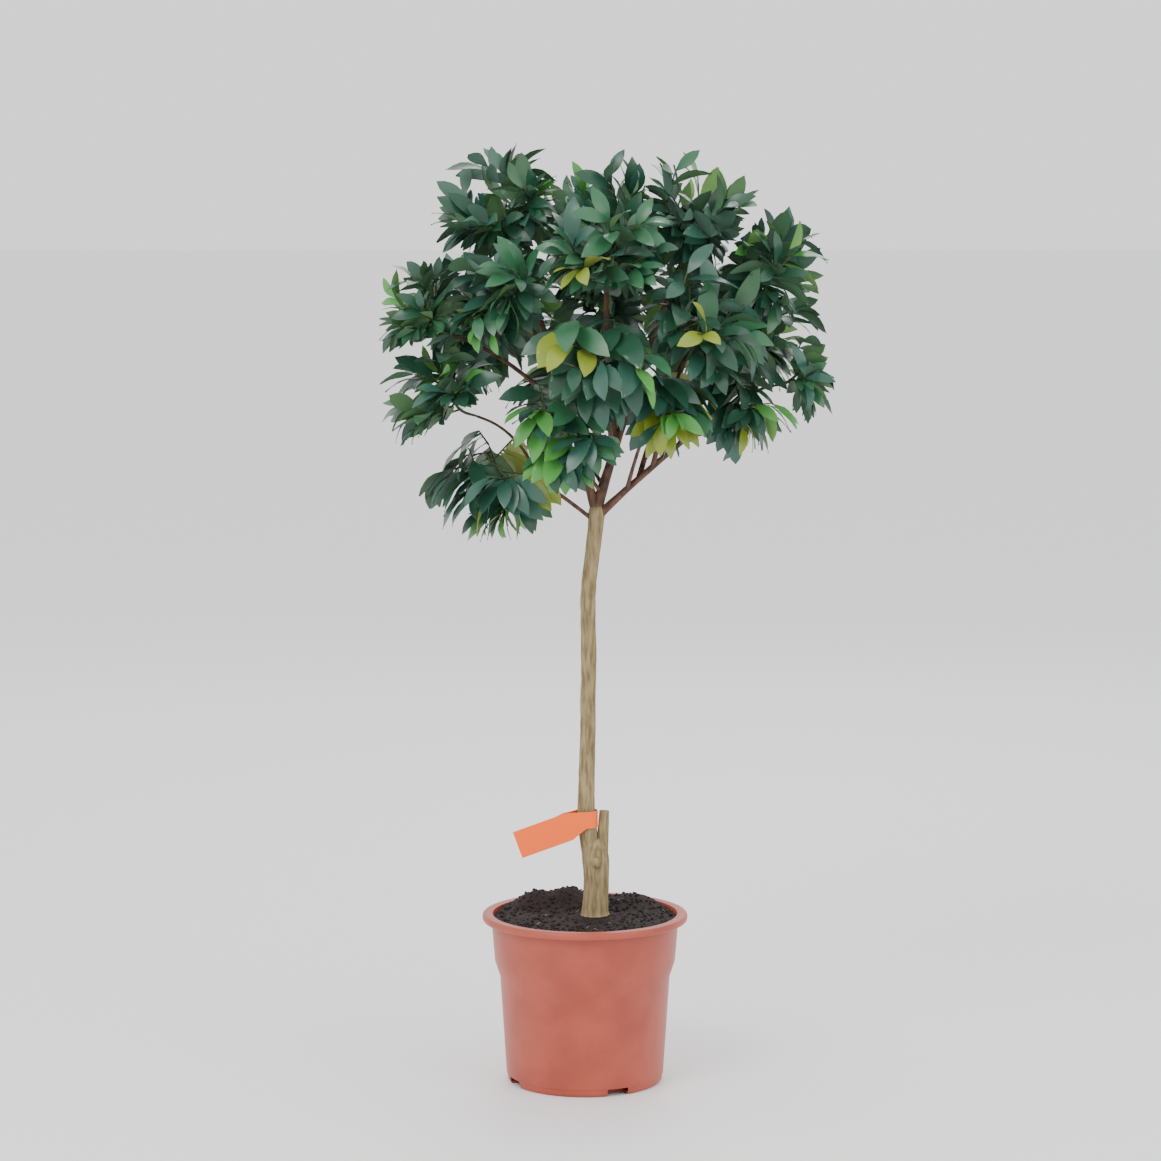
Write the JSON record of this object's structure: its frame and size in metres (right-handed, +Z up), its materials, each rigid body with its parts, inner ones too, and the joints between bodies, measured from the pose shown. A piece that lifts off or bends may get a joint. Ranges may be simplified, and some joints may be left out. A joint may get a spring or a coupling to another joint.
{
  "type": "potted kumquat tree",
  "caption": "Young kumquat tree with a bare grafted trunk, a loose round crown of pointed leaves and small green fruit, standing in a round plastic nursery pot.",
  "frame": {"origin": "centre of the pot's flat underside, on the ground", "axes": "+Z up along the pot's axis, -Y towards the side seen in the picture, +X to the viewer's right"},
  "size_m": [0.4804, 0.4138, 1.0036],
  "materials": {
    "terracotta_plastic": "satin injection-moulded plastic",
    "peat_soil": "moist crumbly peat",
    "bark": "dull fissured bark",
    "orange_film": "smooth printed film, left without print",
    "leaf_green": "glossy leathery leaves"
  },
  "bodies": {
    "root": {"bough_centre": "bark", "bough_inner_back": "bark", "bough_inner_front": "bark", "bough_left": "bark", "bough_low_left": "bark", "bough_right": "bark", "branch_back_left": "bark", "branch_back_middle": "bark", "branch_back_right": "bark", "branch_centre_front": "bark", "branch_far_left": "bark", "branch_far_right": "bark", "branch_left_hanging": "bark", "branch_left_low": "bark", "branch_lower_front": "bark", "branch_right_front": "bark", "branch_right_shoulder": "bark", "branch_right_side": "bark", "branch_top_back": "bark", "branch_top_middle": "bark", "branch_upper_front": "bark", "branch_upper_left": "bark", "foliage_back_left": "leaf_green", "foliage_back_low": "leaf_green", "foliage_back_middle": "leaf_green", "foliage_back_right": "leaf_green", "foliage_centre_front": "leaf_green", "foliage_far_left": "leaf_green", "foliage_far_right": "leaf_green", "foliage_left_hanging": "leaf_green", "foliage_left_low": "leaf_green", "foliage_lower_front": "leaf_green", "foliage_lower_left": "leaf_green", "foliage_right_front": "leaf_green", "foliage_right_low": "leaf_green", "foliage_right_shoulder": "leaf_green", "foliage_right_side": "leaf_green", "foliage_top_back": "leaf_green", "foliage_top_left": "leaf_green", "foliage_top_middle": "leaf_green", "foliage_top_right": "leaf_green", "foliage_upper_front": "leaf_green", "foliage_upper_left": "leaf_green", "pot": "terracotta_plastic", "soil": "peat_soil", "tag": "orange_film", "trunk": "bark"}
  },
  "joints": []
}
